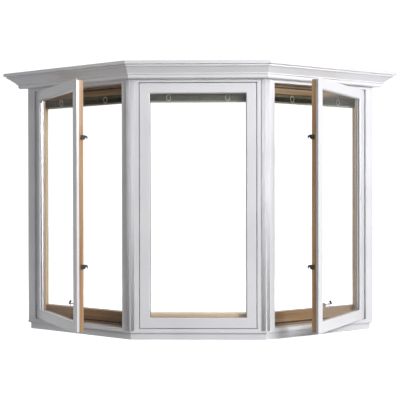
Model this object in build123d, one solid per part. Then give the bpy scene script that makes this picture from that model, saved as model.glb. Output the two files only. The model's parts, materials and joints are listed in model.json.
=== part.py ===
from build123d import *
import os
from math import sin, cos, tan, asin, radians, degrees, pi

import numpy as np

# Three-light angled bay window, a fixed centre sash between two crank-out casements.
# Millimetres. +X runs along the wall, +Y into the room, +Z up. The outside is towards -Y.
# The drawing plane y = 0 is the centre light's face. Export moves it so that the written
# parts have their origin at the middle of the underside, in the plane of the outer wall.

# ---- bay layout ----
bay_angle = 30.0            # turn from the centre light to each flanker
mullion_centre_side = 30.0  # corner to the centre frame, along its face
mullion_flank_side = 38.0   # corner to the flanker frame, along its face
side_trim_w = 31.0          # trim outside each flanker's hinge jamb
room_reach = 158.0          # how far the boards reach past the wall face into the room

# ---- one light ----
sash_w = 683.0
sash_h = 1434.0
reveal = 4.0                # gap all round the sash, seen from outside
frame_face = 22.0           # frame width seen from outside
frame_depth = 100.0
clad_t = 2.0
jamb_t = 20.0               # wooden frame member
sash_set = 4.0              # sash face behind the frame face
sash_t = 44.0
sash_member = 60.0          # stile and rail width
sash_step = 8.0             # the sash body is this much smaller than its face flange
flange_t = 3.0
glass_t = 4.0
glass_gap = 10.0
glass_bite = 11.0           # how far the glass sits behind the sash member
stop_side = 28.0            # interior stop widths, from the wooden frame inwards
stop_head = 58.0
stop_sill = 86.0
seal_gap = 0.8

# ---- boards, crown and skirt ----
platform_t = 44.0
seat_t = 42.0
head_t = 32.0
skirt_h = 42.0
skirt_t = 20.0
skirt_set = 8.0             # skirt face behind the frame face
crown_low = 31.0            # crown projection at its underside
crown_out = 79.0            # crown projection at its top
crown_h = 97.0
crown_lap = 3.0             # crown laps this far down over the frame heads
roof_t = 16.0
fixing_r = 4.0
fixing_x = 700.0
fixing_back = 40.0

# ---- hinge: arm, sash plate and sliding shoe, at head and sill ----
rest_angle = 28.0
max_angle = 60.0
hinge_edge = 12.0           # shoe pivot from the sash's hinge edge
hinge_line = 22.0           # pivot line behind the frame face
link = 32.0                 # arm length, and shoe pivot to arm pivot on the sash
pin_r = 3.0
run_fit = 0.10              # radial clearance of the pins
arm_w = 14.0
shoe_w = 12.4
shoe_l = 24.0
rail_t = 1.5                # hinge track sheet
rail_h = 3.5                # hinge track wall height
arm_t = 2.0

# ---- crank ----
crank_arm = 190.0
pivot_in = 30.0             # crank arm pivot behind the hinge line
wheel_r = 25.0
wheel_teeth = 38
worm_starts = 2
worm_r = 5.0
worm_end = 3.0              # worm below the wheel's mesh point
mesh_gap = 0.4
spindle_r = 4.0
spindle_tilt = 42.0
handle_reach = 62.0
handle_y = 140.0            # handle hub behind the frame face
handle_t = 8.0
hub_pin = 10.0              # cross pin above the end of the spindle
cross_pin_r = 2.5
pivot_r = 4.0
slider_w = 10.6
slider_l = 18.0
channel_w = 12.0

# ---- locks ----
keeper_heights = (0.26, 0.77)   # as shares of the sash height
bolt_travel = 22.0
lever_height = 330.0
lever_l = 72.0
stud_r = 2.5
head_r = 5.0

# ---- blinds ----
blind_rail_h = 18.0
blind_slats = 13
slat_pitch = 2.0
slat_t = 0.7
slat_w = 25.0
bottom_rail_h = 9.0
blind_side_gap = 4.0
loop_w = 30.0
loop_h = 42.0

# ---- worked out from the values above ----
ang = radians(bay_angle)
edge = frame_face + reveal                 # frame edge to sash edge
frame_w = sash_w + 2 * edge
frame_h = sash_h + 2 * edge
frame_z = platform_t
corner_x = frame_w / 2 + mullion_centre_side
flank_len = mullion_flank_side + frame_w + side_trim_w
projection = flank_len * sin(ang)
end_x = corner_x + flank_len * cos(ang)
stop_y = sash_set + sash_t + 6.0
frame_top = frame_z + frame_h
crown_z = frame_top - crown_lap
top_z = crown_z + crown_h
body_in = edge + sash_step                 # frame edge to the sash body
body_h0 = body_in                          # underside of the sash body, in frame heights

nodes = {}


def add(name, *solids):
    nodes.setdefault(name, []).extend(solids)


def block(x0, x1, y0, y1, z0, z1):
    return Pos((x0 + x1) / 2, (y0 + y1) / 2, (z0 + z1) / 2) * Box(x1 - x0, y1 - y0, z1 - z0)


def prism(points, z0, z1):
    outline = make_face(Polyline(*points, close=True))
    return Pos(0, 0, z0) * extrude(outline, z1 - z0, dir=(0, 0, 1))


def post(x, y, r, z0, z1):
    return Pos(x, y, (z0 + z1) / 2) * Cylinder(r, z1 - z0)


def strip(x0, y0, x1, y1, width, z0, z1):
    """A flat bar with round ends between two plan points."""
    length = ((x1 - x0) ** 2 + (y1 - y0) ** 2) ** 0.5
    turn = degrees(np.arctan2(y1 - y0, x1 - x0))
    face = Rectangle(length, width)
    bar = Pos((x0 + x1) / 2, (y0 + y1) / 2, z0) * Rot(0, 0, turn) * extrude(face, z1 - z0)
    return bar + post(x0, y0, width / 2, z0, z1) + post(x1, y1, width / 2, z0, z1)


def mitred_bar(length, profile):
    """A moulding along +X with mitred ends; the profile gives (in from the edge, depth)."""
    reach = max(t for t, y in profile)
    low, high = min(y for t, y in profile), max(y for t, y in profile)
    section = make_face(Polyline(*[(0, y, t) for t, y in profile], close=True))
    bar = extrude(section, length, dir=(1, 0, 0))
    plan = [(0, 0), (length, 0), (length - reach, reach), (reach, reach)]
    wedge = make_face(Polyline(*[(x, low - 1, z) for x, z in plan], close=True))
    return bar & extrude(wedge, high - low + 2, dir=(0, 1, 0))


def mitred_ring(inset, profile):
    """Four mitred lengths round the light, starting inset from the frame's outer edge."""
    w, h = frame_w - 2 * inset, frame_h - 2 * inset
    across, upright = mitred_bar(w, profile), mitred_bar(h, profile)
    return [
        Pos(inset, 0, inset) * across,
        Pos(inset + w, 0, inset) * Rot(0, -90, 0) * upright,
        Pos(inset + w, 0, inset + h) * Rot(0, 180, 0) * across,
        Pos(inset, 0, inset + h) * Rot(0, 90, 0) * upright,
    ]


# ---- frame of one light, in its own coordinates: X from the hinge jamb, Y in, Z up ----
def frame_wood():
    h, w = frame_h, frame_w
    y0, y1 = clad_t, frame_depth
    return [
        block(0, w, y0, y1, 0, jamb_t),
        block(0, w, y0, y1, h - jamb_t, h),
        block(0, jamb_t, y0, y1, jamb_t, h - jamb_t),
        block(w - jamb_t, w, y0, y1, jamb_t, h - jamb_t),
    ]


def frame_cladding():
    profile = [(0, 0), (frame_face, 0), (frame_face, stop_y), (jamb_t, stop_y),
               (jamb_t, clad_t), (0, clad_t)]
    return mitred_ring(0, profile)


def frame_stops(cuts_sill=(), cuts_lock=()):
    """Interior stops: sill, head, hinge side and lock side, with pockets for the hardware."""
    w, h, t = frame_w, frame_h, jamb_t
    sill = block(t, w - t, stop_y, frame_depth, t, t + stop_sill)
    head = block(t, w - t, stop_y, frame_depth, h - t - stop_head, h - t)
    low, high = t + stop_sill, h - t - stop_head
    hinge = block(t, t + stop_side, stop_y, frame_depth, low, high)
    lock = block(w - t - stop_side, w - t, stop_y, frame_depth, low, high)
    for cut in cuts_sill:
        sill -= cut
    for cut in cuts_lock:
        lock -= cut
    return [sill, head, hinge, lock]


def frame_seal():
    """Bulb seal on the stops, just clear of the closed sash."""
    y0 = sash_set + sash_t + seal_gap
    t = body_in + 3
    profile = [(0, stop_y), (0, y0 + 2), (2, y0), (6, y0), (8, y0 + 2), (8, stop_y)]
    return mitred_ring(t, profile)


# ---- sash of one light, closed ----
def sash_cladding():
    y = sash_set
    s, m = sash_step, sash_member
    profile = [(0, y), (m - 5, y), (m, y + 6), (m, y + 10), (m - 2, y + 10), (m - 2, y + 7),
               (m - 6, y + flange_t), (s + clad_t, y + flange_t), (s + clad_t, y + 18),
               (s, y + 18), (s, y + flange_t), (0, y + flange_t)]
    return mitred_ring(edge, profile)


def sash_wood():
    y = sash_set
    s, m, b = sash_step + clad_t, sash_member, glass_bite
    back = y + 12 + 2 * glass_t + glass_gap + 2
    profile = [(s, y + flange_t), (m - b - 3, y + flange_t), (m - b - 3, back), (m, back),
               (m, y + sash_t - 7), (m - 7, y + sash_t), (s - clad_t, y + sash_t),
               (s - clad_t, y + 18), (s, y + 18)]
    return mitred_ring(edge, profile)


def pane_size():
    inset = edge + sash_member - glass_bite
    return inset, frame_w - inset, inset, frame_h - inset


def sash_glass():
    x0, x1, z0, z1 = pane_size()
    y = sash_set + 12
    far = y + glass_t + glass_gap
    return [block(x0, x1, y, y + glass_t, z0, z1), block(x0, x1, far, far + glass_t, z0, z1)]


def sash_glazing():
    """Spacer bar between the panes and the bedding gaskets either side of them."""
    y = sash_set + 12
    inset = edge + sash_member - glass_bite
    spacer = [(1, y + glass_t), (8, y + glass_t), (8, y + glass_t + glass_gap),
              (1, y + glass_t + glass_gap)]
    front = [(0, y - 2), (9, y - 2), (9, y), (0, y)]
    back_y = y + 2 * glass_t + glass_gap
    back = [(0, back_y), (9, back_y), (9, back_y + 2), (0, back_y + 2)]
    return mitred_ring(inset, spacer) + mitred_ring(inset, front) + mitred_ring(inset, back)


# ---- hinge linkage ----
shoe_x = edge + hinge_edge              # shoe pivot, closed
arm_x = shoe_x + 2 * link               # arm pivot on the frame
floor_z = frame_face                    # the hinge track lies on the clad sill
shoe_z = (floor_z + rail_t + 0.3, floor_z + 6.0)
arm_z = (floor_z + 4.3, floor_z + 4.3 + arm_t)
plate_z = (body_h0 - 3.5, body_h0)


def slide(angle):
    return 2 * link * (1 - cos(radians(angle)))


def sash_move(angle):
    return Pos(shoe_x + slide(angle), hinge_line, 0) * Rot(0, 0, -angle) * Pos(-shoe_x, -hinge_line, 0)


def both_ends(solid):
    return [solid, mirror(solid, Plane.XY.offset(frame_h / 2))]


def hinge_track():
    x0, x1 = shoe_x - shoe_l / 2 - 2, arm_x + 10
    wall_end = arm_x - arm_w / 2 - 6
    half = shoe_w / 2 + 0.3
    base = block(x0, x1, hinge_line - half - rail_t, hinge_line + half + rail_t, floor_z, floor_z + rail_t)
    for side in (-1, 1):
        y = hinge_line + side * (half + rail_t / 2)
        base += block(x0, wall_end, y - rail_t / 2, y + rail_t / 2, floor_z, floor_z + rail_h)
    return base + post(arm_x, hinge_line, pin_r, floor_z, arm_z[1] + 0.5)


def hinge_arm(angle):
    bar = strip(arm_x, hinge_line, arm_x - link, hinge_line, arm_w, *arm_z)
    bar -= post(arm_x, hinge_line, pin_r + run_fit, arm_z[0] - 1, arm_z[1] + 1)
    bar -= post(arm_x - link, hinge_line, pin_r + run_fit, arm_z[0] - 1, arm_z[1] + 1)
    return Pos(arm_x, hinge_line, 0) * Rot(0, 0, angle) * Pos(-arm_x, -hinge_line, 0) * bar


def hinge_shoe(angle):
    body = block(shoe_x - shoe_l / 2, shoe_x + shoe_l / 2, hinge_line - shoe_w / 2,
                 hinge_line + shoe_w / 2, *shoe_z)
    body = fillet(body.edges().filter_by(Axis.Z), 3)
    body -= post(shoe_x, hinge_line, pin_r + run_fit, shoe_z[0] - 1, shoe_z[1] + 1)
    return Pos(slide(angle), 0, 0) * body


def sash_plate():
    plate = block(shoe_x - 6, shoe_x + link + 9, hinge_line - 8, hinge_line + 8, *plate_z)
    plate += post(shoe_x, hinge_line, pin_r, shoe_z[0] + 0.5, plate_z[0])
    return plate + post(shoe_x + link, hinge_line, pin_r, arm_z[0] - 0.4, plate_z[0])


# ---- crank geometry: the arm pin has to stay on the sash's channel as the sash opens ----
def fit_crank():
    """Pivot offset, arm turn per sash turn and closed arm angle that keep the pin on line."""
    theta = np.radians(np.linspace(0, max_angle, 41))
    q, m, p = 0.8 * crank_arm, 2.3, asin(pivot_in / crank_arm)
    for _ in range(60):
        inner = (m - 1) * theta + p
        miss = crank_arm * np.sin(inner) - (
            q * np.sin(theta) + link * np.sin(2 * theta) + pivot_in * np.cos(theta))
        slope = crank_arm * np.cos(inner)
        jac = np.stack([-np.sin(theta), slope * theta, slope], 1)
        step = np.linalg.lstsq(jac, -miss, rcond=None)[0]
        q, m, p = q + step[0], m + step[1], p + step[2]
    return q, m, p, float(np.abs(miss).max())


pivot_off, arm_turn, arm_closed, crank_miss = fit_crank()
pivot_x = arm_x + pivot_off
pivot_y = hinge_line + pivot_in


def arm_angle(angle):
    return degrees(arm_turn * radians(angle) + arm_closed)


def pin_place(angle):
    phi = radians(arm_angle(angle))
    return pivot_x + crank_arm * cos(phi), pivot_y - crank_arm * sin(phi)


def pin_run(angle):
    """Distance of the crank pin from the shoe pivot, along the sash."""
    px, py = pin_place(angle)
    dx, dy = px - (shoe_x + slide(angle)), py - hinge_line
    t = radians(angle)
    return dx * cos(t) - dy * sin(t)


wheel_z = (floor_z + 2.5, floor_z + 6.5)
crank_arm_z = (floor_z + 2.5, floor_z + 5.0)
channel_z = (body_h0 - 5.0, body_h0)
slider_z = (crank_arm_z[1] + 1.6, body_h0 - 1.8)
worm_x = pivot_x - wheel_r - worm_r - mesh_gap
worm_y = pivot_y + 3.0
worm_z = floor_z + 6.2
tilt = radians(spindle_tilt)
spindle_len = (handle_y - worm_y) / cos(tilt)
spindle_place = Pos(worm_x, worm_y, worm_z) * Rot(spindle_tilt - 90, 0, 0)
handle_z = worm_z + spindle_len * sin(tilt)


def crank_wheel_arm(angle):
    pitch = 2 * pi / wheel_teeth
    points = []
    for i in range(wheel_teeth):
        for share, r in ((0.0, wheel_r - 2), (0.3, wheel_r - 2), (0.42, wheel_r), (0.88, wheel_r)):
            a = (i + share) * pitch
            points.append((pivot_x + r * cos(a), pivot_y + r * sin(a)))
    part = prism(points, *wheel_z)
    part += strip(pivot_x, pivot_y, pivot_x + crank_arm, pivot_y, arm_w, *crank_arm_z)
    part += post(pivot_x + crank_arm, pivot_y, pin_r, crank_arm_z[1], slider_z[1] - 0.2)
    part -= post(pivot_x, pivot_y, pivot_r + run_fit, wheel_z[0] - 1, wheel_z[1] + 1)
    turn = Pos(pivot_x, pivot_y, 0) * Rot(0, 0, -arm_angle(angle)) * Pos(-pivot_x, -pivot_y, 0)
    return turn * part


def crank_slider(angle):
    body = block(-slider_l / 2, slider_l / 2, -slider_w / 2, slider_w / 2, *slider_z)
    body = fillet(body.edges().filter_by(Axis.Z), 2.5)
    body -= post(0, 0, pin_r + run_fit, slider_z[0] - 1, slider_z[1] + 1)
    px, py = pin_place(angle)
    return Pos(px, py, 0) * Rot(0, 0, -angle) * body


def crank_channel():
    """Channel under the sash's bottom rail, which the crank arm's slider runs in."""
    x0 = shoe_x + pin_run(max_angle) - slider_l / 2 - 4
    x1 = shoe_x + pin_run(0) + slider_l / 2 + 6
    outer = channel_w / 2 + 2
    part = block(x0, x1, hinge_line - outer, hinge_line + outer, *channel_z)
    return part - block(x0 - 1, x1 + 1, hinge_line - channel_w / 2, hinge_line + channel_w / 2,
                        channel_z[0] - 1, channel_z[1] - 1.5)


def crank_housing():
    """Gear case in the sill stop, with the wheel pivot and the worm's inclined boss."""
    x0, x1 = worm_x - worm_r - 6, pivot_x + wheel_r + 10
    y0, y1 = stop_y + 2.5, frame_depth - 0.5
    body = block(x0, x1, y0, y1, floor_z, floor_z + 22)
    body += block(x0, x1, pivot_y - 12, y0, floor_z, floor_z + 2)
    boss_l = (frame_depth + 8 - worm_y) / cos(tilt)
    boss = spindle_place * (Pos(0, 0, boss_l / 2) * Cylinder(spindle_r + 4, boss_l))
    body += boss & block(x0, x1, y0, frame_depth + 30, floor_z, floor_z + 120)
    body -= post(pivot_x, pivot_y, wheel_r + 1.2, floor_z + 2, wheel_z[1] + 0.8)
    body -= block(worm_x, x1 + 2, pivot_y - 13, y0 + 0.01, floor_z + 2, floor_z + 30)
    bore = Pos(0, 0, boss_l / 2) * Cylinder(spindle_r + 0.3, boss_l * 2.2)
    body -= spindle_place * bore
    body -= spindle_place * (Pos(0, 0, 4) * Cylinder(worm_r + 0.6, 34))
    body += post(pivot_x, pivot_y, pivot_r, floor_z, wheel_z[1] + 0.6)
    return body.solids().sort_by(SortBy.VOLUME)[-1]


def crank_cover():
    """Moulded cover over the gear case, on the room side of the sill stop."""
    x0, x1 = worm_x - 28, pivot_x + 20
    y0 = frame_depth + 0.2
    z0, z1 = floor_z + 20, jamb_t + stop_sill - 2
    depth = 24.0
    side = [(y0, z0), (y0 + depth, z0), (y0 + depth, z0 + 14), (y0 + 10, z1), (y0, z1)]
    face = make_face(Polyline(*[(x0, y, z) for y, z in side], close=True))
    shell = extrude(face, x1 - x0, dir=(1, 0, 0))
    hollow = [(y0 - 1, z0 - 1), (y0 + depth - 2, z0 - 1), (y0 + depth - 2, z0 + 13),
              (y0 + 8.5, z1 - 2), (y0 - 1, z1 - 2)]
    face = make_face(Polyline(*[(x0 + 2, y, z) for y, z in hollow], close=True))
    shell -= extrude(face, x1 - x0 - 4, dir=(1, 0, 0))
    way = Pos(0, 0, spindle_len / 2) * Cylinder(spindle_r + 4.6, spindle_len * 1.2)
    return (shell - spindle_place * way).solids().sort_by(SortBy.VOLUME)[-1]


def crank_spindle():
    """Worm, spindle and the forked hub that the folding handle pivots in."""
    part = Pos(0, 0, (spindle_len - worm_end) / 2) * Cylinder(spindle_r, spindle_len + worm_end)
    for i in range(5):
        part += Pos(0, 0, 3.6 * i - worm_end + 1) * Cone(worm_r, spindle_r, 1.6)
    hub = Pos(0, 0, spindle_len + 6) * Cylinder(10, 20)
    hub -= Pos(0, 0, spindle_len + 11) * Box(24, handle_t + 0.6, 20)
    hub -= Pos(0, 0, spindle_len + hub_pin) * Cylinder(cross_pin_r + run_fit, 30, rotation=(90, 0, 0))
    part += hub
    return spindle_place * part


def crank_handle():
    """Folding handle, pointing towards the hinge side, with its cross pin and knob post."""
    z = spindle_len + hub_pin
    bar = Pos(-handle_reach / 2, 0, z) * Box(handle_reach, handle_t, 6)
    bar += Pos(0, 0, z) * Cylinder(4.5, handle_t, rotation=(90, 0, 0))
    bar += Pos(0, 0, z) * Cylinder(cross_pin_r, 18, rotation=(90, 0, 0))
    bar += Pos(-handle_reach, 0, z) * Cylinder(6, 6)
    bar += Pos(-handle_reach, 0, z + 13) * Cylinder(pin_r, 22)
    bar += Pos(-handle_reach, 0, z + 25) * Cylinder(pin_r + 1.5, 2)
    return spindle_place * bar


def crank_knob():
    z = spindle_len + hub_pin
    knob = Pos(-handle_reach, 0, z + 13.5) * Cylinder(7.5, 20)
    knob = fillet(knob.edges().filter_by(GeomType.CIRCLE), 3)
    knob -= Pos(-handle_reach, 0, z + 13) * Cylinder(pin_r + run_fit, 40)
    return spindle_place * knob


# ---- lock: a sliding bar with studs in the lock-side stop, driven by a lever ----
bar_x = (frame_w - 28.0, frame_w - 25.4)      # bar beside the keepers, in frame coordinates
bar_y = (58.0, 74.0)
keeper_zs = [edge + share * sash_h for share in keeper_heights]
bar_z = (lever_height - 130, keeper_zs[-1] + 120)
stud_y = 63.8
stud_lock = 1.5                               # stud centre below the keeper centre when locked
keeper_x = (frame_w - body_in, frame_w - body_in + 3.0)
lever_x = frame_w - 37.0
pinion_r = 8.6
pinion_y = (60.0, 65.0)
lever_turn = degrees(bolt_travel / (pinion_r + 0.4))


def lock_keepers():
    outline = [(30, 14), (58, 14), (73, 6), (73, -9), (70, -14), (67, -9), (67, 1.5),
               (60.5, 1.5), (60.5, -6), (54, -14), (30, -14)]
    x0, x1 = keeper_x
    face = make_face(Polyline(*[(x0, y, z) for y, z in outline], close=True))
    hook = extrude(face, x1 - x0, dir=(1, 0, 0))
    return [Pos(0, 0, z) * hook for z in keeper_zs]


def lock_bar():
    bar = block(*bar_x, *bar_y, *bar_z)
    for z in keeper_zs:
        stud_z = z - stud_lock - bolt_travel
        stud = Pos((keeper_x[0] - 1 + bar_x[0]) / 2, stud_y, stud_z)
        bar += stud * Cylinder(stud_r, bar_x[0] - keeper_x[0] + 1, rotation=(0, 90, 0))
        head = Pos(keeper_x[0] - 1.6, stud_y, stud_z)
        bar += head * Cylinder(stud_r + 1.5, 1.2, rotation=(0, 90, 0))
    for i in range(-6, 7):
        z = lever_height - bolt_travel / 2 + 4 * i
        bar -= block(bar_x[0] - 1, bar_x[0] + 1, pinion_y[0] - 1, pinion_y[1] + 1, z - 1, z + 1)
    return bar


def lock_lever():
    """Lever on the room face of the lock-side stop; its pinion drives the bar."""
    y0 = frame_depth + 3.2
    part = Pos(lever_x, (pinion_y[0] + y0 + 6) / 2, lever_height) * Cylinder(
        3, y0 + 6 - pinion_y[0], rotation=(90, 0, 0))
    points = []
    pitch = 2 * pi / 14
    for i in range(14):
        for share, r in ((0.0, pinion_r - 1.6), (0.4, pinion_r - 1.6), (0.55, pinion_r), (0.85, pinion_r)):
            a = (i + share) * pitch
            points.append((lever_x + r * cos(a), pinion_y[0], lever_height + r * sin(a)))
    face = make_face(Polyline(*points, close=True))
    part += extrude(face, pinion_y[1] - pinion_y[0], dir=(0, 1, 0))
    grip = block(lever_x - 6, lever_x + 6, y0 + 1, y0 + 6, lever_height - 8, lever_height + lever_l)
    grip = fillet(grip.edges().filter_by(Axis.Y), 4)
    part += grip
    part += Pos(lever_x, y0 + 3.2, lever_height) * Cylinder(9, 6, rotation=(90, 0, 0))
    return part


def lock_plate():
    x0, x1 = lever_x - 10, frame_w - jamb_t - 1
    plate = block(x0, x1, frame_depth, frame_depth + 3, lever_height - 40, lever_height + 40)
    plate = fillet(plate.edges().filter_by(Axis.Y), 4)
    bore = Pos(lever_x, frame_depth, lever_height) * Cylinder(3 + 0.3, 20, rotation=(90, 0, 0))
    return plate - bore


def lock_cuts():
    channel = block(frame_w - 36.5, bar_x[1] + 0.4, stop_y - 1, 80, bar_z[0] - 0.5, bar_z[1] + bolt_travel + 1)
    recess = block(lever_x - 9.3, bar_x[1] + 0.4, stop_y + 3, 80, lever_height - 10, lever_height + 10)
    bore = Pos(lever_x, 90, lever_height) * Cylinder(3 + 0.3, 60, rotation=(90, 0, 0))
    return [channel, recess, bore]


def crank_cuts():
    x0, x1 = worm_x - worm_r - 6.5, pivot_x + wheel_r + 10.5
    case = block(x0, x1, stop_y - 1, frame_depth + 1, floor_z - 3, floor_z + 22.5)
    reach = (frame_depth + 30 - worm_y) / cos(tilt)
    way = spindle_place * (Pos(0, 0, reach / 2) * Cylinder(spindle_r + 4.5, reach))
    return [case, way & block(0, frame_w, stop_y - 1, frame_depth + 1, 0, 200)]


def snubber():
    """Bumper block on the hinge jamb at mid-height that draws the closed sash home."""
    z = frame_h / 2
    base = block(frame_face, frame_face + 3, 20, 46, z - 22, z + 22)
    return base + block(frame_face + 3, frame_face + 5.5, 30, 40, z - 12, z + 12)


# ---- blind, raised to the head ----
def blind(light_name):
    x0 = jamb_t + stop_side + blind_side_gap
    x1 = frame_w - x0
    top = frame_h - jamb_t - stop_head
    y0, y1 = stop_y + 10, stop_y + 10 + slat_w
    rail = block(x0, x1, y0, y1, top - blind_rail_h, top)
    z = top - blind_rail_h
    slats = []
    for i in range(blind_slats):
        z -= slat_pitch
        slats.append(block(x0 + 3, x1 - 3, y0 + 0.5, y1 - 0.5, z, z + slat_t))
    bottom = block(x0 + 3, x1 - 3, y0 + 1, y1 - 1, z - 0.3 - bottom_rail_h, z - 0.3)
    loops = []
    for side in (-1, 1):
        path = Ellipse(loop_w / 2, loop_h / 2) - Ellipse(loop_w / 2 - 1.6, loop_h / 2 - 1.6)
        loop = extrude(path, 1.5)
        place = Pos((x0 + x1) / 2 + side * 175, y0 - 0.4, top - 4 - loop_h / 2) * Rot(90, 0, 0)
        loops.append(place * loop)
    return [rail], slats, [bottom], loops


# ---- placing the three lights ----
def centre_place(solid):
    return Pos(-frame_w / 2, 0, frame_z) * solid


def left_place(solid):
    x = -end_x + side_trim_w * cos(ang)
    y = projection - side_trim_w * sin(ang)
    return Pos(x, y, frame_z) * Rot(0, 0, -bay_angle) * solid


def right_place(solid):
    return mirror(left_place(solid), Plane.YZ)


def each_light(name, build):
    solids = build
    for place in (left_place, centre_place, right_place):
        add(name, *[place(s) for s in solids])


def each_side(name, solids):
    for side, place in (("left_", left_place), ("right_", right_place)):
        add(side + name, *[place(s) for s in solids])


def both_sides(name, solids):
    for place in (left_place, right_place):
        add(name, *[place(s) for s in solids])


wood = frame_wood()
add("left_frame", *[left_place(s) for s in wood])
add("centre_frame", *[centre_place(s) for s in wood])
add("right_frame", *[right_place(s) for s in wood])
each_light("frame_cladding", frame_cladding())
casement_stops = frame_stops(crank_cuts(), lock_cuts())
both_sides("interior_stops", casement_stops)
add("interior_stops", *[centre_place(s) for s in frame_stops()])
each_light("weather_seals", frame_seal())
rails, slats, bottoms, loops = blind("light")
each_light("blind_head_rails", rails)
each_light("blind_slats", slats)
each_light("blind_bottom_rails", bottoms)
each_light("blind_ladder_loops", loops)
both_sides("hinge_tracks", both_ends(hinge_track()))
both_sides("crank_housings", [crank_housing()])
both_sides("crank_covers", [crank_cover()])
both_sides("lock_plates", [lock_plate()])
both_sides("snubbers", [snubber()])

# ---- centre sash, fixed ----
add("centre_sash", *[centre_place(s) for s in sash_wood()])
add("centre_sash_cladding", *[centre_place(s) for s in sash_cladding()])
add("centre_glass", *[centre_place(s) for s in sash_glass()])
add("centre_glazing", *[centre_place(s) for s in sash_glazing()])
clips = [block(edge + sash_w * share - 15, edge + sash_w * share + 15, sash_set + 18, sash_set + 38, z0, z1)
         for share in (0.2, 0.8)
         for z0, z1 in ((frame_face, body_in), (frame_h - body_in, frame_h - frame_face))]
add("centre_sash_clips", *[centre_place(c) for c in clips])

# ---- the two casements, at their rest opening ----
opened = sash_move(rest_angle)
each_side("sash", [opened * s for s in sash_wood()])
each_side("sash_cladding", [opened * s for s in sash_cladding()])
each_side("glass", [opened * s for s in sash_glass()])
each_side("glazing", [opened * s for s in sash_glazing()])
each_side("keepers", [opened * s for s in lock_keepers()])
fittings = both_ends(sash_plate()) + [crank_channel()]
each_side("sash_fittings", [opened * s for s in fittings])
each_side("hinge_arms", both_ends(hinge_arm(rest_angle)))
each_side("hinge_shoes", both_ends(hinge_shoe(rest_angle)))
each_side("crank_arm", [crank_wheel_arm(rest_angle)])
each_side("crank_slider", [crank_slider(rest_angle)])
each_side("crank_spindle", [crank_spindle()])
each_side("crank_handle", [crank_handle()])
each_side("crank_knob", [crank_knob()])
each_side("lock_lever", [lock_lever()])
each_side("lock_bar", [lock_bar()])


# ---- the angled shell that carries the lights ----
def ring_point(depth, at_end=False):
    """Plan point at a depth behind the frame faces, at the corner or at the wall end."""
    if at_end:
        return end_x - depth * sin(ang), projection + depth * cos(ang)
    return corner_x - depth * tan(ang / 2), depth


def wall_point(depth):
    """Where the line at that depth meets the wall plane."""
    cx, cy = ring_point(depth)
    reach = (projection - cy) / sin(ang)
    return cx + reach * cos(ang), projection


def bay_board(depth, z0, z1, back):
    cx, cy = ring_point(depth)
    ex, ey = ring_point(depth, at_end=True) if depth > 0 else wall_point(depth)
    right = [(cx, cy), (ex, ey), (ex, back)]
    left = [(-x, y) for x, y in reversed(right)]
    return prism(right + left, z0, z1)


def three_lengths(profile):
    """A moulding round the bay: profile gives (depth, z); one solid per length."""
    solids = []
    xs = [(ring_point(d), wall_point(d), z) for d, z in profile]
    inner = [(0 - cx, cy, z) for (cx, cy), w, z in xs]
    outer = [(cx, cy, z) for (cx, cy), w, z in xs]
    solids.append(ruled_bar(inner, outer))
    ends = [(w[0], w[1], z) for c, w, z in xs]
    flank = ruled_bar(outer, ends)
    return [mirror(flank, Plane.YZ)] + solids + [flank]


def ruled_bar(first, second):
    """Solid between two matching outlines that lie in planes."""
    n = len(first)
    faces = [make_face(Polyline(*first, close=True)), make_face(Polyline(*second, close=True))]
    for i in range(n):
        j = (i + 1) % n
        faces.append(make_face(Polyline(first[i], first[j], second[j], second[i], close=True)))
    return Solid(Shell(faces))


def mullion_slab(depth0, depth1, near, far):
    """Right-hand corner piece between the two frames, from one depth to another."""
    c, s = cos(ang), sin(ang)
    def on_centre(d, x):
        return x, d
    def on_flank(d, run):
        return corner_x + run * c - d * s, run * s + d * c
    points = [on_centre(depth0, near), ring_point(depth0), on_flank(depth0, far),
              on_flank(depth1, far), ring_point(depth1), on_centre(depth1, near)]
    return points


room_end = projection + room_reach
board_low = platform_t - clad_t
add("platform", bay_board(skirt_set + skirt_t, 0, board_low, room_end))
add("seat_board", bay_board(frame_depth, board_low, board_low + seat_t, room_end))
head_board = bay_board(frame_depth, frame_top - head_t, frame_top, room_end)
roof_board = bay_board(12, frame_top, frame_top + roof_t, room_end)
fixing_y = room_end - fixing_back
for side in (-1, 1):
    hole = post(side * fixing_x, fixing_y, fixing_r, frame_top - head_t - 1, frame_top + roof_t + 1)
    head_board -= hole
    roof_board -= hole
add("head_board", head_board)
add("roof_boards", roof_board)

crown_profile = [(0, crown_z), (-crown_low + 6, crown_z), (-crown_low, crown_z + 6),
                 (-crown_low, crown_z + 22), (-crown_low - 6, crown_z + 24), (-crown_low - 6, crown_z + 30),
                 (-crown_low - 12, crown_z + 38), (-crown_low - 30, crown_z + 60),
                 (-crown_out + 10, crown_z + 66), (-crown_out + 10, crown_z + 74),
                 (-crown_out, crown_z + 78), (-crown_out, top_z), (0, top_z)]
add("crown_moulding", *three_lengths(crown_profile))
block_z = frame_top + roof_t
add("roof_boards", *three_lengths([(0, block_z), (0, top_z), (30, top_z), (30, block_z)]))
skirt_profile = [(skirt_set, 0), (skirt_set, board_low), (skirt_set + skirt_t, board_low), (skirt_set + skirt_t, 0)]
add("skirt_moulding", *three_lengths(skirt_profile))
drip_profile = [(-2, board_low), (-2, board_low + 10), (0, board_low + 10), (0, platform_t),
                (30, platform_t), (30, board_low), (skirt_set - 2, board_low), (skirt_set - 4, board_low - 4),
                (skirt_set - 6, board_low - 4), (skirt_set - 5, board_low)]
add("drip_edge", *three_lengths(drip_profile))

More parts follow.
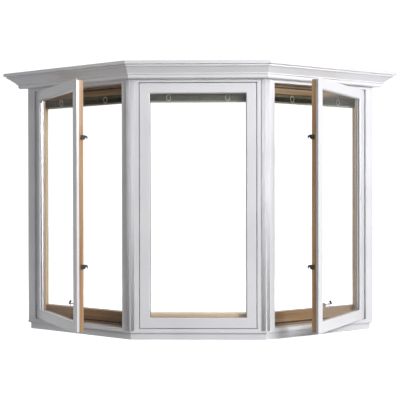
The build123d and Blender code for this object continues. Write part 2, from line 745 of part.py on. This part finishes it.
mullion_near = frame_w / 2
post_points = mullion_slab(clad_t + 4, frame_depth, mullion_near, mullion_flank_side)
mullion = prism(post_points, frame_z, frame_top)
add("mullion_posts", mirror(mullion, Plane.YZ), mullion)
cover_points = mullion_slab(0, clad_t + 4, mullion_near, mullion_flank_side)
cover = prism(cover_points, frame_z + 8, crown_z)
c, s = cos(ang), sin(ang)
fluted = mullion_slab(-4, 0, corner_x - 20, 26)
cover += prism(fluted, frame_z + 8, crown_z)
trim_points = [(flank_len - side_trim_w, 0), (flank_len, 0), (flank_len - 0, 20), (flank_len - side_trim_w, 20)]
trim = prism([(corner_x + r * c - d * s, r * s + d * c) for r, d in trim_points], frame_z, crown_z)
add("exterior_trims", mirror(cover, Plane.YZ), cover, mirror(trim, Plane.YZ), trim)
casing_points = mullion_slab(frame_depth, frame_depth + 12, mullion_near - 14, mullion_flank_side + 14)
casing = prism(casing_points, board_low + seat_t, frame_top - head_t)
add("interior_casings", mirror(casing, Plane.YZ), casing)

os.makedirs("parts", exist_ok=True)
for node, solids in nodes.items():
    flat = [Pos(0, -projection, 0) * s for piece in solids for s in piece.solids()]
    export_step(Compound(children=flat), f"parts/{node}.step")
print(len(nodes), "nodes", "crank miss", round(crank_miss, 3), "lever", round(lever_turn, 1))
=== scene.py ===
import bpy
import bmesh
import json
import math
from mathutils import Matrix, Vector


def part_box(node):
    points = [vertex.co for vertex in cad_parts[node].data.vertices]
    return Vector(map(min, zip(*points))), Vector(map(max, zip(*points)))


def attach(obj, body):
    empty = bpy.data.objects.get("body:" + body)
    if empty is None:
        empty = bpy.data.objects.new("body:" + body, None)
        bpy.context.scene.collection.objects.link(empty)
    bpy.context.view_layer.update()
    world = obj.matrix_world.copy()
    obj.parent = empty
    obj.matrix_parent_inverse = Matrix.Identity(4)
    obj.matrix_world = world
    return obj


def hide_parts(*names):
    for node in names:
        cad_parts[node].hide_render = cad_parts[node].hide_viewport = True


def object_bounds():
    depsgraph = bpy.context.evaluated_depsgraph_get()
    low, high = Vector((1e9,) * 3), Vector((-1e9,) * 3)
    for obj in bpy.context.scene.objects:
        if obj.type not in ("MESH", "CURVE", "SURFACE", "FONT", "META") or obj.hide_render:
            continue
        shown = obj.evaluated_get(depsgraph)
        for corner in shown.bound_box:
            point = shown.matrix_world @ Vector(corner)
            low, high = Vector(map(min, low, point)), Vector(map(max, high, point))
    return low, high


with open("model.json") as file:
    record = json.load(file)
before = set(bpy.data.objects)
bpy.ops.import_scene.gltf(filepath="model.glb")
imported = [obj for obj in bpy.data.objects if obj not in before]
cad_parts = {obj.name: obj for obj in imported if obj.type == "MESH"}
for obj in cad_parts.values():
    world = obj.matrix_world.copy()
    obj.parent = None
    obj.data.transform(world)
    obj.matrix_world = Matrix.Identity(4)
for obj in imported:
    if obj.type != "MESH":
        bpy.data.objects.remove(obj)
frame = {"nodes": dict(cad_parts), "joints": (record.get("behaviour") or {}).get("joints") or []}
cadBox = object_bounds()
nodes = frame["nodes"]
joints = {joint["name"]: joint for joint in frame["joints"]}
print("frame loaded:", len(nodes), "nodes")

sides = ("left", "centre", "right")
flanks = ("left", "right")
skyward = Vector((0, 0, 1))
rightward = Vector((1, 0, 0))

# degrees: how far a flank light is turned, and how far its sash stands open
unit = {"bayAngle": 30, "sashOpen": 28}
swing = math.radians(unit["bayAngle"])
openTurn = math.radians(unit["bayAngle"] + unit["sashOpen"])


# a shader socket that takes ordinary arithmetic
class Wire:
    def __init__(self, shader, socket):
        self.shader = shader
        self.socket = socket

    def calc(self, kind, other, flip=False):
        pair = (other, self) if flip else (self, other)
        return self.shader.node("ShaderNodeMath", {"operation": kind}, {0: pair[0], 1: pair[1]})

    def __add__(self, other):
        return self.calc("ADD", other)

    def __sub__(self, other):
        return self.calc("SUBTRACT", other)

    def __mul__(self, other):
        return self.calc("MULTIPLY", other)

    def __rsub__(self, other):
        return self.calc("SUBTRACT", other, True)

    __radd__ = __add__
    __rmul__ = __mul__


class Shader:
    def __init__(self, name):
        self.material = bpy.data.materials.new(name)
        self.material.use_nodes = True
        self.tree = self.material.node_tree
        self.surface = self.tree.nodes["Principled BSDF"]

    def plug(self, value, socket):
        if isinstance(value, Wire):
            self.tree.links.new(value.socket, socket)
        else:
            socket.default_value = value

    def node(self, kind, settings=None, sockets=None, out=0):
        made = self.tree.nodes.new(kind)
        for key, value in (settings or {}).items():
            if key == "stops":
                self.setStops(made.color_ramp, value)
            else:
                setattr(made, key, value)
        for key, value in (sockets or {}).items():
            self.plug(value, made.inputs[key])
        return Wire(self, made.outputs[out])

    def setStops(self, ramp, stops):
        while len(ramp.elements) < len(stops):
            ramp.elements.new(0.5)
        for element, (place, color) in zip(ramp.elements, stops):
            element.position = place
            element.color = (*color, 1)

    def place(self, turn=(0, 0, 0), scale=(1, 1, 1)):
        spot = self.node("ShaderNodeTexCoord", out="Object")
        turned = self.node("ShaderNodeMapping", {}, {"Vector": spot, "Rotation": turn})
        return self.node("ShaderNodeMapping", {}, {"Vector": turned, "Scale": scale})

    def noise(self, vector, scale, detail=3.0):
        return self.node("ShaderNodeTexNoise", {}, {"Vector": vector, "Scale": scale, "Detail": detail})

    def ramp(self, value, stops):
        return self.node("ShaderNodeValToRGB", {"stops": stops}, {"Fac": value})

    def bump(self, height, strength, distance):
        return self.node("ShaderNodeBump", {}, {"Height": height, "Strength": strength, "Distance": distance})

    def finish(self, **sockets):
        for key, value in sockets.items():
            self.plug(value, self.surface.inputs[key.replace("_", " ")])
        return self.material


# sprayed enamel: slow clouding, and a fine peel in the gloss
enamel = {"light": (0.80, 0.80, 0.83), "dull": (0.735, 0.735, 0.765), "cloud": 2.6, "speckle": 420.0,
          "rough": 0.29, "roughSpread": 0.14, "peel": 0.06, "peelDepth": 0.0004, "coat": 0.15}


def paintFinish(name):
    s = Shader(name)
    spot = s.place()
    cloud = s.noise(spot, enamel["cloud"], 4.0)
    peel = s.noise(spot, enamel["speckle"], 2.0)
    return s.finish(Base_Color=s.ramp(cloud, [(0.32, enamel["dull"]), (0.68, enamel["light"])]),
                    Roughness=cloud * enamel["roughSpread"] + enamel["rough"],
                    Normal=s.bump(peel, enamel["peel"], enamel["peelDepth"]), Coat_Weight=enamel["coat"])


# softwood under clear lacquer: the grain is stretched along each member
timber = {"wander": 9.0, "rings": 58.0, "pores": 900.0, "stretch": 0.045, "ringShare": 0.62, "rough": 0.42,
          "roughSpread": 0.2, "relief": 0.16, "reliefDepth": 0.0006, "coat": 0.06, "gloss": 0.25}


def woodFinish(name, dark, mid, light, turn, upright):
    s = Shader(name)
    along = timber["stretch"]
    spot = s.place((0, 0, turn), (1, 1, along) if upright else (along, 1, 1))
    wander = s.noise(spot, timber["wander"], 3.0)
    figure = s.noise(spot, timber["rings"], 5.0)
    pores = s.noise(spot, timber["pores"], 2.0)
    tone = figure * timber["ringShare"] + wander * (1 - timber["ringShare"])
    return s.finish(Base_Color=s.ramp(tone, [(0.34, dark), (0.5, mid), (0.66, light)]),
                    Roughness=pores * timber["roughSpread"] + timber["rough"],
                    Normal=s.bump(figure * 0.5 + pores * 0.5, timber["relief"], timber["reliefDepth"]),
                    Coat_Weight=timber["coat"], Specular_IOR_Level=timber["gloss"])


# castings, mouldings, rubber and cord: patches of wear and a fine surface
cast = {"roughSpread": 0.18, "fineness": 14, "depth": 0.0003}


def plainFinish(name, color, worn, rough, metal=0.0, scale=60.0, dent=0.08):
    s = Shader(name)
    spot = s.place()
    patch = s.noise(spot, scale, 4.0)
    fine = s.noise(spot, scale * cast["fineness"], 2.0)
    return s.finish(Base_Color=s.ramp(patch, [(0.3, worn), (0.62, color)]), Metallic=metal,
                    Roughness=patch * cast["roughSpread"] + (rough - cast["roughSpread"] / 2),
                    Normal=s.bump(fine, dent, cast["depth"]))


brushed = {"streak": 1500.0, "stretch": 0.03, "roughSpread": 0.16, "scratch": 0.05, "depth": 0.0002}


def brushedFinish(name, color, worn, rough):
    s = Shader(name)
    streak = s.noise(s.place((0, 0, 0), (1, 1, brushed["stretch"])), brushed["streak"], 2.0)
    return s.finish(Base_Color=s.ramp(streak, [(0.3, worn), (0.7, color)]), Metallic=1.0,
                    Roughness=streak * brushed["roughSpread"] + rough,
                    Normal=s.bump(streak, brushed["scratch"], brushed["depth"]))


pane = {"tint": (0.80, 0.84, 0.83, 1), "smear": 3.0, "rough": 0.01, "alpha": 0.02, "index": 1.5}


def glassFinish(name):
    s = Shader(name)
    smear = s.noise(s.place(), pane["smear"], 3.0)
    return s.finish(Base_Color=pane["tint"], Roughness=smear * 0.03 + pane["rough"],
                    Alpha=smear * 0.02 + pane["alpha"], IOR=pane["index"])


# wood tones from dark to light
honey = [(0.36, 0.19, 0.09), (0.50, 0.30, 0.155), (0.60, 0.40, 0.23)]
tan = [(0.50, 0.31, 0.18), (0.64, 0.43, 0.27), (0.74, 0.54, 0.36)]
# darkest tones: painted shade for the level stop faces in the flank lights
shadeUmber = [(0.20, 0.115, 0.06), (0.31, 0.19, 0.10), (0.40, 0.28, 0.165)]
pale = [(0.66, 0.50, 0.33), (0.78, 0.63, 0.44), (0.86, 0.74, 0.56)]

cladPaint = paintFinish("claddingEnamel")
trimPaint = paintFinish("trimEnamel")
darkBronze = plainFinish("darkBronze", (0.075, 0.05, 0.035), (0.13, 0.088, 0.058), 0.38, 0.5)
keeperBronze = plainFinish("keeperBronze", (0.022, 0.017, 0.014), (0.045, 0.034, 0.027), 0.6, 0.2)
warmPlastic = plainFinish("brownMoulding", (0.20, 0.125, 0.075), (0.25, 0.165, 0.10), 0.5)
blackKnob = plainFinish("blackKnob", (0.018, 0.016, 0.014), (0.032, 0.028, 0.025), 0.24)
rubberSeal = plainFinish("rubberSeal", (0.03, 0.03, 0.03), (0.055, 0.055, 0.052), 0.75)
steelFinish = brushedFinish("brushedSteel", (0.60, 0.60, 0.61), (0.44, 0.44, 0.45), 0.28)
spacerFinish = brushedFinish("spacerMetal", (0.66, 0.66, 0.67), (0.55, 0.55, 0.56), 0.34)
# one blind colour in two copies: the head rails and slats darkened as painted shade, the bottom rails lighter
# as a painted highlight
shadedBlindPaint = plainFinish("oliveBlind", (0.085, 0.078, 0.048), (0.125, 0.112, 0.070), 0.45, 0.0, 35.0)
litBlindRail = plainFinish("oliveBlindLitRail", (0.30, 0.295, 0.20), (0.35, 0.34, 0.25), 0.45, 0.0, 35.0)
cordFinish = plainFinish("ladderCord", (0.74, 0.71, 0.60), (0.62, 0.58, 0.47), 0.85, 0.0, 700.0, 0.3)
screwFinish = plainFinish("screwHead", (0.40, 0.38, 0.35), (0.26, 0.24, 0.22), 0.35, 1.0)
clearGlass = glassFinish("clearGlass")
print("finishes made")


def dress(names, *materials):
    for name in names.split():
        data = nodes[name].data
        data.materials.clear()
        for material in materials:
            data.materials.append(material)


# every connected shell of a mesh, as lists of vertex numbers; a CAD node's mesh comes split at its
# sharp edges, so one of its shells is usually one face of a solid
def shells(data):
    links = [[] for _ in data.vertices]
    for edge in data.edges:
        a, b = edge.vertices
        links[a].append(b)
        links[b].append(a)
    seen, groups = set(), []
    for start in range(len(links)):
        if start in seen:
            continue
        seen.add(start)
        queue, members = [start], []
        while queue:
            at = queue.pop()
            members.append(at)
            fresh = [other for other in links[at] if other not in seen]
            seen.update(fresh)
            queue += fresh
        groups.append(members)
    return groups


# the light that some points belong to; the limit is where the centre light ends
def sideOf(points, limit=0.41):
    middle = sum(p.x for p in points) / len(points)
    return "left" if middle < -limit else "right" if middle > limit else "centre"


# gives each face of the wood the upright or level grain that runs along its longer side; level faces on the
# flank lights can take darker tones, which are painted shade
def dressTimber(names, tones, turn, flankShadeTones=None):
    turns = {"left": turn, "centre": 0 * turn, "right": -turn}
    for name in names.split():
        grain = [woodFinish(name + "Upright", *tones, 0, True)]
        for side in sides:
            sideTonesOrShade = tones if side == "centre" else flankShadeTones or tones
            grain.append(woodFinish(name + side.title(), *sideTonesOrShade, turns[side], False))
        dress(name, *grain)
        data = nodes[name].data
        choice = {}
        for members in shells(data):
            points = [data.vertices[v].co for v in members]
            size = [max(p[i] for p in points) - min(p[i] for p in points) for i in range(3)]
            level = size[2] < max(size[0], size[1])
            pick = 1 + sides.index(sideOf(points)) if level else 0
            choice.update((v, pick) for v in members)
        for face in data.polygons:
            face.material_index = choice[face.vertices[0]]


dressTimber("left_frame centre_frame right_frame mullion_posts", tan, swing)
dressTimber("left_sash centre_sash right_sash", honey, openTurn)
# the flank lights' level stop faces take the dark umber tones: painted shade on the sill and head stops
dressTimber("interior_stops", pale, swing, shadeUmber)
dressTimber("interior_casings", pale, swing)
dressTimber("platform seat_board head_board roof_boards", pale, 0)
dress("frame_cladding centre_sash_cladding left_sash_cladding right_sash_cladding drip_edge", cladPaint)
dress("crown_moulding skirt_moulding exterior_trims", trimPaint)
dress("centre_glass left_glass right_glass", clearGlass)
dress("weather_seals", rubberSeal)
dress("centre_glazing left_glazing right_glazing", spacerFinish)
# the blind stack takes the shaded copy and the bottom rails the lit copy: painted shade and painted highlight
dress("blind_head_rails", shadedBlindPaint)
dress("blind_bottom_rails", litBlindRail)
dress("hinge_tracks centre_sash_clips", steelFinish)
dress("crank_housings lock_plates", darkBronze)
dress("crank_covers snubbers", warmPlastic)
for side in flanks:
    steelNodes = ["hinge_arms", "sash_fittings", "crank_arm", "crank_spindle", "lock_bar"]
    dress(" ".join(f"{side}_{name}" for name in steelNodes), steelFinish)
    dress(f"{side}_keepers {side}_crank_handle {side}_lock_lever", darkBronze)
    dress(f"{side}_hinge_shoes {side}_crank_slider", warmPlastic)
    dress(f"{side}_crank_knob", blackKnob)
print("frame dressed")


def pieceFrom(name, mesh, body, material, smooth=True):
    data = bpy.data.meshes.new(name)
    bmesh.ops.recalc_face_normals(mesh, faces=mesh.faces)
    mesh.to_mesh(data)
    mesh.free()
    data.materials.append(material)
    for face in data.polygons:
        face.use_smooth = smooth
    obj = bpy.data.objects.new(name, data)
    bpy.context.scene.collection.objects.link(obj)
    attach(obj, body)
    return obj


# joins rings of points into a closed skin
def loft(mesh, rings):
    made = [[mesh.verts.new(p) for p in ring] for ring in rings]
    for a, b in zip(made, made[1:]):
        bridge(mesh, a, b)
    mesh.faces.new(list(reversed(made[0])))
    mesh.faces.new(made[-1])


# joins rings of vertices into an endless tube
def loftLoop(mesh, rings):
    for i, ring in enumerate(rings):
        bridge(mesh, ring, rings[(i + 1) % len(rings)])


def bridge(mesh, a, b):
    for i in range(len(a)):
        j = (i + 1) % len(a)
        mesh.faces.new((a[i], a[j], b[j], b[i]))


# the place of something that stands at a spot and points along an axis
def standing(spot, axis):
    return Matrix.Translation(spot) @ skyward.rotation_difference(axis).to_matrix().to_4x4()


def lathe(mesh, place, profile, steps=32):
    rings = []
    for height, radius in profile:
        ring = []
        for i in range(steps):
            turn = 2 * math.pi * i / steps
            ring.append(place @ Vector((radius * math.cos(turn), radius * math.sin(turn), height)))
        rings.append(ring)
    loft(mesh, rings)


# along the light and into the room, for a light turned by an angle
def axesAt(turn):
    along = Vector((math.cos(turn), math.sin(turn), 0))
    inward = Vector((-math.sin(turn), math.cos(turn), 0))
    return along, inward


def lightAxes(side):
    return axesAt({"left": -swing, "centre": 0, "right": swing}[side])


def islands(name):
    data = nodes[name].data
    return [[data.vertices[v].co.copy() for v in members] for members in shells(data)]


def spanOf(points, axis):
    values = [p.dot(axis) for p in points]
    return min(values), max(values)


# blind slats: thin, crowned, slightly uneven in their stack
slatLook = {"crown": 0.0011, "thick": 0.0005, "steps": 8, "shuffle": 0.0012, "endGap": 0.0005,
            "frontGap": 0.001, "bothGaps": 0.003}


def makeSlats():
    mesh = bmesh.new()
    for number, points in enumerate(islands("blind_slats")):
        along, inward = lightAxes(sideOf(points))
        a0, a1 = spanOf(points, along)
        d0, d1 = spanOf(points, inward)
        z0 = min(p.z for p in points)
        shift = slatLook["shuffle"] * math.sin(number * 2.4)
        rings = []
        for a in (a0 + slatLook["endGap"], a1 - slatLook["endGap"]):
            upper, lower = [], []
            for i in range(slatLook["steps"] + 1):
                share = i / slatLook["steps"]
                depth = d0 + slatLook["frontGap"] + (d1 - d0 - slatLook["bothGaps"]) * share + shift * 0.5
                z = z0 + slatLook["crown"] * math.sin(math.pi * share)
                flat = along * (a + shift) + inward * depth
                upper.append(flat + skyward * (z + slatLook["thick"]))
                lower.append(flat + skyward * z)
            rings.append(upper + lower[::-1])
        loft(mesh, rings)
    # the slats take the shaded blind copy, a painted shade
    slats = pieceFrom("blindSlats", mesh, "bay", shadedBlindPaint)
    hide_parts("blind_slats")


# ladder loops: a bunched tape standing out before the slats
loopLook = {"steps": 40, "thick": 0.0013, "flat": 0.5, "sides": 8, "lean": 0.0004, "inset": 0.0015,
            "proud": 0.0008, "pinch": 0.28}


def makeLoops():
    mesh = bmesh.new()
    for points in islands("blind_ladder_loops"):
        along, inward = lightAxes(sideOf(points))
        a0, a1 = spanOf(points, along)
        z0, z1 = spanOf(points, skyward)
        depth = spanOf(points, inward)[0] + loopLook["proud"]
        centre = along * ((a0 + a1) / 2) + inward * depth + skyward * ((z0 + z1) / 2)
        wide, tall = (a1 - a0) / 2 - loopLook["inset"], (z1 - z0) / 2 - loopLook["inset"]
        rings = []
        for i in range(loopLook["steps"]):
            turn = 2 * math.pi * i / loopLook["steps"]
            c, s = math.cos(turn), math.sin(turn)
            pinch = 1 - loopLook["pinch"] * s ** 2 if s > 0 else 1
            out = along * c + skyward * s
            spot = centre + along * (wide * pinch * c) + skyward * (tall * s)
            spot += inward * (-loopLook["lean"] * (1 + math.sin(3 * turn)))
            ring = []
            for k in range(loopLook["sides"]):
                spin = 2 * math.pi * k / loopLook["sides"]
                r = loopLook["thick"]
                ring.append(mesh.verts.new(spot + out * (r * math.cos(spin))
                                           + inward * (r * loopLook["flat"] * math.sin(spin))))
            rings.append(ring)
        loftLoop(mesh, rings)
    loops = pieceFrom("ladderLoops", mesh, "bay", cordFinish)
    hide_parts("blind_ladder_loops")


makeSlats()
makeLoops()
print("blinds made")

# reeds on both faces of the corner posts
reedLook = {"radius": 0.0034, "flat": 0.7, "offsets": (0.006, 0.0135, 0.021), "sides": 8, "proud": 0.004,
            "cornerGap": 0.0021, "footGap": 0.012, "headGap": 0.002}
cornerReach = 0.5       # the centre light's shells end nearer to the middle than this


def reedRing(base, along, out):
    ring = []
    for k in range(reedLook["sides"] + 1):
        turn = math.pi * k / reedLook["sides"]
        r = reedLook["radius"]
        ring.append(base + along * (r * math.cos(turn)) + out * (r * reedLook["flat"] * math.sin(turn)))
    return ring


def makeReeds():
    low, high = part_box("exterior_trims")
    spans = [spanOf(points, rightward) for points in islands("skirt_moulding")]
    width = max(x1 for x0, x1 in spans if abs(x0) < cornerReach and x1 < cornerReach)
    front = low.y + reedLook["proud"]
    z0, z1 = low.z + reedLook["footGap"], high.z - reedLook["headGap"]
    mesh = bmesh.new()
    for sign in (-1, 1):
        corner = Vector((sign * (width + reedLook["cornerGap"]), front, 0))
        outward = Vector((sign * math.sin(swing), -math.cos(swing), 0))
        flank = Vector((sign * math.cos(swing), math.sin(swing), 0))
        for along, out in ((-sign * rightward, Vector((0, -1, 0))), (flank, outward)):
            for offset in reedLook["offsets"]:
                base = corner + along * offset + out * reedLook["proud"]
                loft(mesh, [reedRing(base + skyward * z, along, out) for z in (z0, z1)])
    pieceFrom("cornerReeds", mesh, "bay", trimPaint)


makeReeds()
print("reeds made")

# crank knob and handle, turned and drawn round their joint lines; a profile is (height, radius) pairs
knobLook = {"profile": [(0.0036, 0.0034), (0.0036, 0.0056), (0.0060, 0.0070), (0.0100, 0.0062),
                        (0.0150, 0.0066), (0.0200, 0.0076), (0.0228, 0.0070), (0.0238, 0.0046),
                        (0.0240, 0.0012)]}
handleLook = {"width": 0.0078, "thick": 0.006, "waist": 0.72, "rings": 18, "sides": 16, "square": 0.55,
              "capStart": 0.35, "behindHub": 0.004, "pastEnds": 0.009,
              "post": [(0.0, 0.003), (0.0241, 0.003), (0.0246, 0.0042), (0.0256, 0.0036), (0.026, 0.001)],
              "pin": [(-0.009, 0.0025), (0.009, 0.0025)], "hub": [(-0.0039, 0.0046), (0.0039, 0.0046)]}


def upAxis(joint):
    axis = Vector(joint["axis"])
    return -axis if axis.z < 0 else axis


def makeKnob(side):
    spin = joints[f"{side}_knob_spin"]
    mesh = bmesh.new()
    lathe(mesh, standing(Vector(spin["pos_m"]), upAxis(spin)), knobLook["profile"])
    knob = pieceFrom(f"{side}Knob", mesh, f"{side}_crank_knob_body", blackKnob)
    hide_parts(f"{side}_crank_knob")


# squares off a cosine or sine, for a section between a circle and a box
def squared(value):
    return math.copysign(abs(value) ** handleLook["square"], value)


def makeHandle(side):
    spin = joints[f"{side}_knob_spin"]
    hub, tip = Vector(joints[f"{side}_handle_fold"]["pos_m"]), Vector(spin["pos_m"])
    up = upAxis(spin)
    run = (tip - hub).normalized()
    across = up.cross(run).normalized()
    length = (tip - hub).length
    mesh = bmesh.new()
    rings = []
    for i in range(handleLook["rings"] + 1):
        share = i / handleLook["rings"]
        end = min(share, 1 - share) * handleLook["rings"]
        cap = math.sin(min(end + handleLook["capStart"], 1.0) * math.pi / 2)
        waist = 1 - (1 - handleLook["waist"]) * math.sin(math.pi * share)
        wide = handleLook["width"] / 2 * cap * waist
        thick = handleLook["thick"] / 2 * cap
        spot = hub + run * (-handleLook["behindHub"] + (length + handleLook["pastEnds"]) * share)
        ring = []
        for k in range(handleLook["sides"]):
            turn = 2 * math.pi * k / handleLook["sides"]
            ring.append(spot + across * (wide * squared(math.cos(turn)))
                        + up * (thick * squared(math.sin(turn))))
        rings.append(ring)
    loft(mesh, rings)
    lathe(mesh, standing(tip, up), handleLook["post"], 20)
    lathe(mesh, standing(hub, across), handleLook["pin"], 20)
    lathe(mesh, standing(hub, across), handleLook["hub"], 24)
    handle = pieceFrom(f"{side}Handle", mesh, f"{side}_crank_handle_body", darkBronze)
    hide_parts(f"{side}_crank_handle")


# screw heads: a low dome with a recess, on the lock plates and the crank covers
screwLook = {"radius": 0.0032, "dome": 0.0013, "sunk": 0.0006, "steps": 20, "plateInset": 0.009,
             "coverInset": 0.009, "coverRise": 0.007}


def screw(mesh, spot, out):
    r, d = screwLook["radius"], screwLook["dome"]
    lathe(mesh, standing(spot, out), [(-screwLook["sunk"], r), (0, r), (d * 0.6, r * 0.8), (d, r * 0.38),
                                      (d * 0.45, r * 0.3), (d * 0.4, r * 0.02)], screwLook["steps"])


def makeScrews(side):
    along, inward = lightAxes(side)
    mesh = bmesh.new()
    for name in ("lock_plates", "crank_covers"):
        for points in islands(name):
            middle = sum(points, Vector()) / len(points)
            if (middle.x < 0) != (side == "left"):
                continue
            a0, a1 = spanOf(points, along)
            z0, z1 = spanOf(points, skyward)
            deep = spanOf(points, inward)[1]
            if name == "lock_plates":
                inset = screwLook["plateInset"]
                spots = [((a0 + a1) / 2, z0 + inset), ((a0 + a1) / 2, z1 - inset)]
            else:
                inset, rise = screwLook["coverInset"], screwLook["coverRise"]
                spots = [(a0 + inset, z0 + rise), (a1 - inset, z0 + rise)]
            for a, z in spots:
                screw(mesh, along * a + inward * deep + skyward * z, inward)
    pieceFrom(f"{side}Screws", mesh, "bay", screwFinish)


# keepers: slim cast hooks with eased edges
keeperLook = {"tall": 0.4, "ease": 0.0005, "weld": 0.00001, "sameFace": 0.02, "slack": 0.001}


def makeKeepers(side):
    name = f"{side}_keepers"
    mesh = bmesh.new()
    mesh.from_mesh(nodes[name].data)
    bmesh.ops.remove_doubles(mesh, verts=mesh.verts, dist=keeperLook["weld"])
    spans = [spanOf(points, skyward) for points in islands(name)]
    slack = keeperLook["slack"]
    for vert in mesh.verts:
        z0, z1 = next((z0, z1) for z0, z1 in spans if z0 - slack <= vert.co.z <= z1 + slack)
        middle = (z0 + z1) / 2
        vert.co.z = middle + (vert.co.z - middle) * keeperLook["tall"]
    bmesh.ops.dissolve_limit(mesh, angle_limit=keeperLook["sameFace"], verts=mesh.verts, edges=mesh.edges)
    bmesh.ops.bevel(mesh, geom=mesh.edges[:], offset=keeperLook["ease"], segments=2, affect="EDGES")
    keepers = pieceFrom(f"{side}KeeperHooks", mesh, f"{side}_casement", keeperBronze, False)
    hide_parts(name)


for side in flanks:
    makeKeepers(side)
    makeKnob(side)
    makeHandle(side)
    makeScrews(side)
print("hardware made")

# rubber bead where the outer pane meets the cladding
beadLook = {"radius": 0.0022, "flat": 0.5, "sides": 10, "inset": 0.0118, "proud": 0.0008}
paneOf = {"left": "left_casement", "centre": "bay", "right": "right_casement"}


def makeBead(side):
    along, inward = axesAt({"left": -openTurn, "centre": 0, "right": openTurn}[side])
    outer = min(islands(f"{side}_glass"), key=lambda points: spanOf(points, inward)[0])
    face = spanOf(outer, inward)[0] - beadLook["proud"]
    a0, a1 = spanOf(outer, along)
    z0, z1 = spanOf(outer, skyward)
    inset = beadLook["inset"]
    corners = [(a0 + inset, z0 + inset), (a1 - inset, z0 + inset), (a1 - inset, z1 - inset),
               (a0 + inset, z1 - inset)]
    mesh = bmesh.new()
    rings = []
    for a, z in corners:
        signA = 1 if a > (a0 + a1) / 2 else -1
        signZ = 1 if z > (z0 + z1) / 2 else -1
        ring = []
        for k in range(beadLook["sides"]):
            spin = 2 * math.pi * k / beadLook["sides"]
            r = beadLook["radius"] * math.cos(spin)
            d = face + beadLook["radius"] * beadLook["flat"] * math.sin(spin)
            ring.append(mesh.verts.new(along * (a + signA * r) + inward * d + skyward * (z + signZ * r)))
        rings.append(ring)
    loftLoop(mesh, rings)
    pieceFrom(f"{side}PaneBead", mesh, paneOf[side], rubberSeal, False)


for side in sides:
    makeBead(side)
print("pane beads made")

# studio: a pale floor, white walls all round, four soft lamps as (place, size, power)
studio = {"floorGap": 0.0005, "farWall": 16, "nearWall": -30, "sideWalls": 30, "below": -4, "above": 24,
          "floorHalf": 14, "floorNear": -9, "world": 0.17, "aim": (0, -0.2, 0.8)}
lamps = {"key": ((3.8, -4.1, 2.5), 1.6, 265.0), "top": ((0.8, -2.6, 4.0), 1.6, 26.0),
         "room": ((0.0, 2.6, 1.7), 1.6, 30.0), "fill": ((-4.2, -3.6, 2.2), 2.4, 26.0)}
view = {"eye": (0.112, -4.963, 0.852), "yaw": -1.26, "pitch": -0.40, "roll": -0.09, "lens": 70.3}


def glowFinish(name, shade, glow):
    s = Shader(name)
    return s.finish(Base_Color=(shade, shade, shade, 1), Roughness=0.9, Emission_Color=(1, 1, 1, 1),
                    Emission_Strength=glow)


# stage pieces glow for the camera and don't light the object
def stagePiece(name, points, faces, material, mirrored=True):
    data = bpy.data.meshes.new(name)
    data.from_pydata(points, [], faces)
    data.materials.append(material)
    obj = bpy.data.objects.new(name, data)
    bpy.context.scene.collection.objects.link(obj)
    obj.visible_diffuse = False
    obj.visible_glossy = mirrored


def makeStudio():
    half, near, far = studio["floorHalf"], studio["floorNear"], studio["farWall"]
    reach, front = studio["sideWalls"], studio["nearWall"]
    below, above = studio["below"], studio["above"]
    level = cadBox[0].z - studio["floorGap"]
    stagePiece("studioFloor", [(-half, near, level), (half, near, level), (half, far, level),
                               (-half, far, level)], [(0, 1, 2, 3)], glowFinish("paleFloor", 0.90, 0.86))
    stagePiece("studioWall", [(-reach, far, below), (reach, far, below), (reach, far, above),
                              (-reach, far, above)], [(0, 1, 2, 3)], glowFinish("whiteBackdrop", 0.8, 1.0))
    corners = [(x, y, z) for z in (below, above)
               for x, y in ((-reach, far), (-reach, front), (reach, front), (reach, far))]
    stagePiece("studioRoom", corners, [(0, 1, 5, 4), (1, 2, 6, 5), (2, 3, 7, 6), (4, 5, 6, 7)],
               glowFinish("whiteRoomWalls", 0.8, 1.0), False)
    world = bpy.data.worlds.new("whiteRoom")
    bpy.context.scene.world = world
    world.use_nodes = True
    world.node_tree.nodes["Background"].inputs["Color"].default_value = (1, 1, 1, 1)
    world.node_tree.nodes["Background"].inputs["Strength"].default_value = studio["world"]
    for name, (spot, size, power) in lamps.items():
        lamp = bpy.data.lights.new(name, "AREA")
        lamp.energy = power
        lamp.size = size
        obj = bpy.data.objects.new(name, lamp)
        bpy.context.scene.collection.objects.link(obj)
        obj.location = spot
        obj.rotation_euler = (Vector(studio["aim"]) - Vector(spot)).to_track_quat("-Z", "Y").to_euler()
    bpy.context.scene.view_settings.view_transform = "Standard"


def makeCamera():
    camera = bpy.data.cameras.new("studioCamera")
    camera.lens = view["lens"]
    camera.sensor_width = 36.0
    obj = bpy.data.objects.new("studioCamera", camera)
    bpy.context.scene.collection.objects.link(obj)
    yaw, pitch, roll = (math.radians(view[key]) for key in ("yaw", "pitch", "roll"))
    look = (Matrix.Rotation(-yaw, 4, "Z") @ Matrix.Rotation(math.pi / 2 + pitch, 4, "X")
            @ Matrix.Rotation(roll, 4, "Z"))
    obj.matrix_world = Matrix.Translation(Vector(view["eye"])) @ look
    bpy.context.scene.camera = obj


makeStudio()
makeCamera()
print("studio made")
